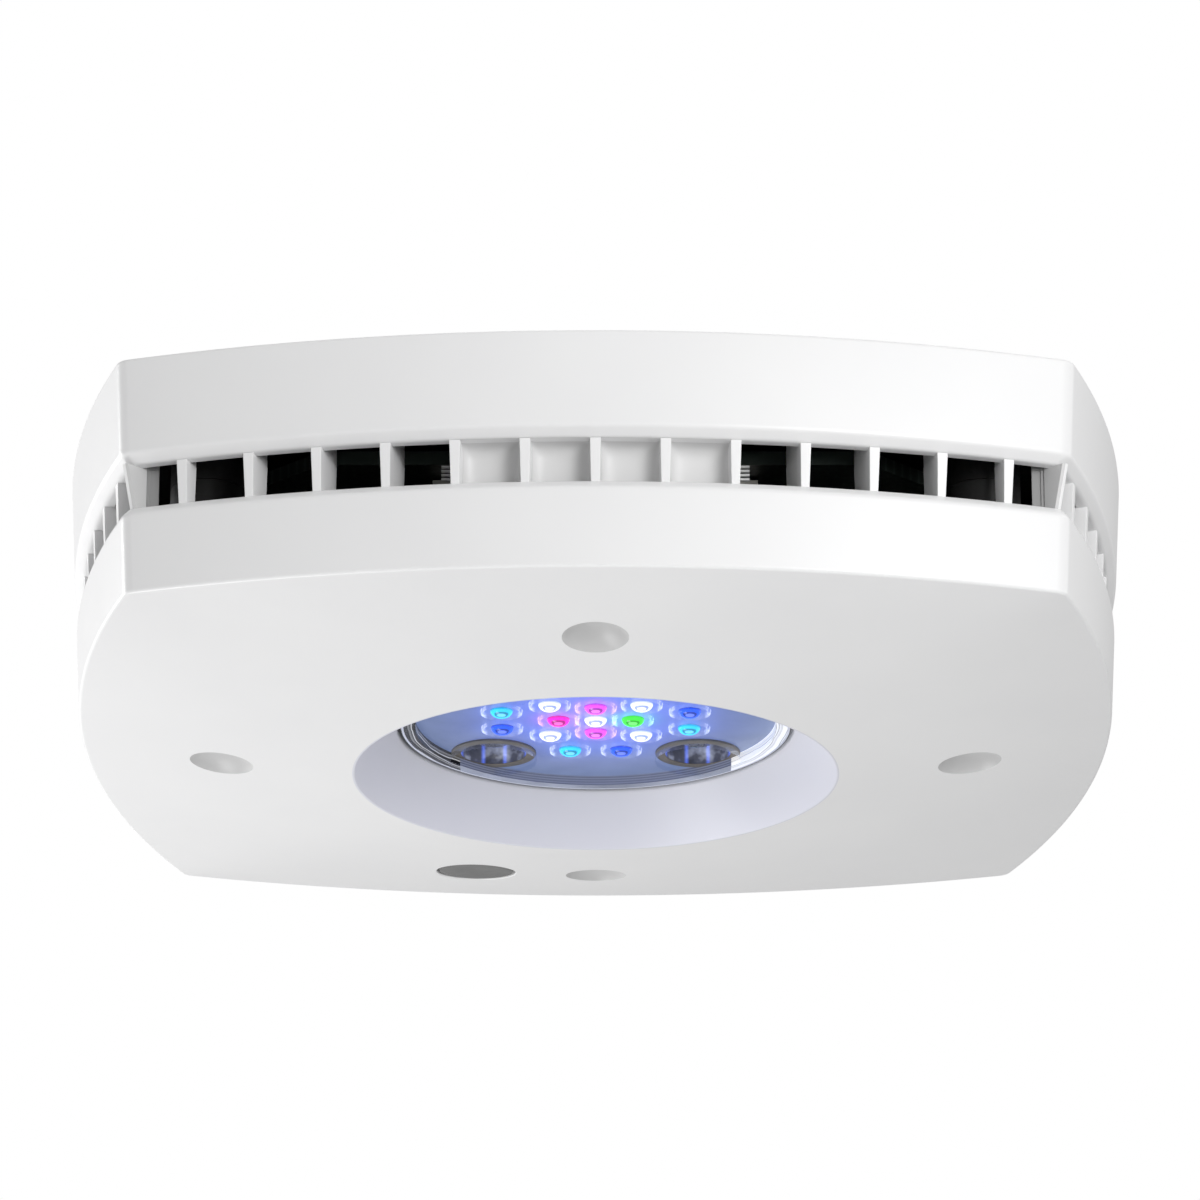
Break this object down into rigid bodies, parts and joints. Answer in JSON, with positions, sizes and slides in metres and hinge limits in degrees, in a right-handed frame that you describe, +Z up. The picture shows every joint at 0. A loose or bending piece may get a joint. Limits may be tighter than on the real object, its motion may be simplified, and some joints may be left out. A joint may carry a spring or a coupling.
{
  "type": "led aquarium light",
  "caption": "Square slim aquarium light head with bowed vented sides, a round lens well in the underside over a mixed colour LED cluster, an inner fan and a push button.",
  "frame": {"origin": "bottom centre of the light, level with the rim of the light well, on the vertical centre line", "axes": "+Z up, out of the top cover; the light shines along -Z; +Y the back, where the power inlet is; +X right"},
  "size_m": [0.124, 0.124, 0.0315],
  "materials": {
    "white_plastic": "satin white moulded plastic",
    "grey_rubber": "matte mid-grey silicone",
    "clear_lens": "clear polished moulded lens",
    "grey_collar": "grey-brown satin",
    "black_rubber": "matte black",
    "board_black": "black solder mask",
    "board_white": "pale grey solder mask",
    "led_white": "lit white LED",
    "led_cyan": "lit cyan LED",
    "led_blue": "lit royal blue LED",
    "led_red": "lit red LED",
    "led_green": "lit green LED",
    "led_violet": "lit violet LED",
    "pad_grey": "soft grey thermal pad",
    "black_aluminium": "black anodised",
    "black_plastic": "satin black",
    "steel": "plain steel",
    "brass": "plain brass",
    "copper": "enamelled copper winding",
    "connector_white": "off-white nylon"
  },
  "bodies": {
    "housing": {"arm_insert_left": "brass", "arm_insert_right": "brass", "bottom_cover": "white_plastic", "capacitor_1": "black_plastic", "capacitor_2": "black_plastic", "case_screw_1": "steel", "case_screw_2": "steel", "case_screw_3": "steel", "case_screw_4": "steel", "dc_jack": "black_plastic", "dc_jack_pin": "brass", "driver_board": "board_black", "fan_bearing": "brass", "fan_frame": "black_plastic", "fan_screw_1": "steel", "fan_screw_2": "steel", "fan_screw_3": "steel", "fan_screw_4": "steel", "fan_stator": "copper", "heat_sink": "black_aluminium", "led_00": "led_white", "led_01": "led_green", "led_02": "led_violet", "led_03": "led_red", "led_04": "led_violet", "led_05": "led_white", "led_06": "led_white", "led_07": "led_white", "led_08": "led_white", "led_09": "led_blue", "led_10": "led_cyan", "led_11": "led_blue", "led_12": "led_cyan", "led_13": "led_blue", "led_14": "led_cyan", "led_15": "led_blue", "led_16": "led_cyan", "led_board": "board_white", "lens_gasket": "black_rubber", "lens_puck": "clear_lens", "lens_screw_1": "steel", "lens_screw_2": "steel", "lens_screw_3": "steel", "lens_screw_4": "steel", "pin_header_left": "connector_white", "pin_header_right": "connector_white", "power_inductor_1": "copper", "power_inductor_2": "copper", "screw_collar_1": "grey_collar", "screw_collar_2": "grey_collar", "screw_collar_3": "grey_collar", "screw_collar_4": "grey_collar", "tact_switch": "black_plastic", "thermal_pad": "pad_grey", "top_cover": "white_plastic", "wifi_module": "steel"},
    "fan_rotor": {"fan_rotor": "black_plastic", "fan_shaft": "steel"},
    "button": {"button_cap": "grey_rubber"}
  },
  "joints": [
    {"name": "fan_spin", "type": "hinge", "parent": "housing", "child": "fan_rotor", "pos_m": [0, 0, 0.0194], "axis": [0, 0, 1], "continuous": true},
    {"name": "button_press", "type": "slide", "parent": "housing", "child": "button", "axis": [0, 0, 1], "range_m": [0, 0.0008], "stiffness_N_per_m": 800, "springref_m": -0.0005}
  ]
}
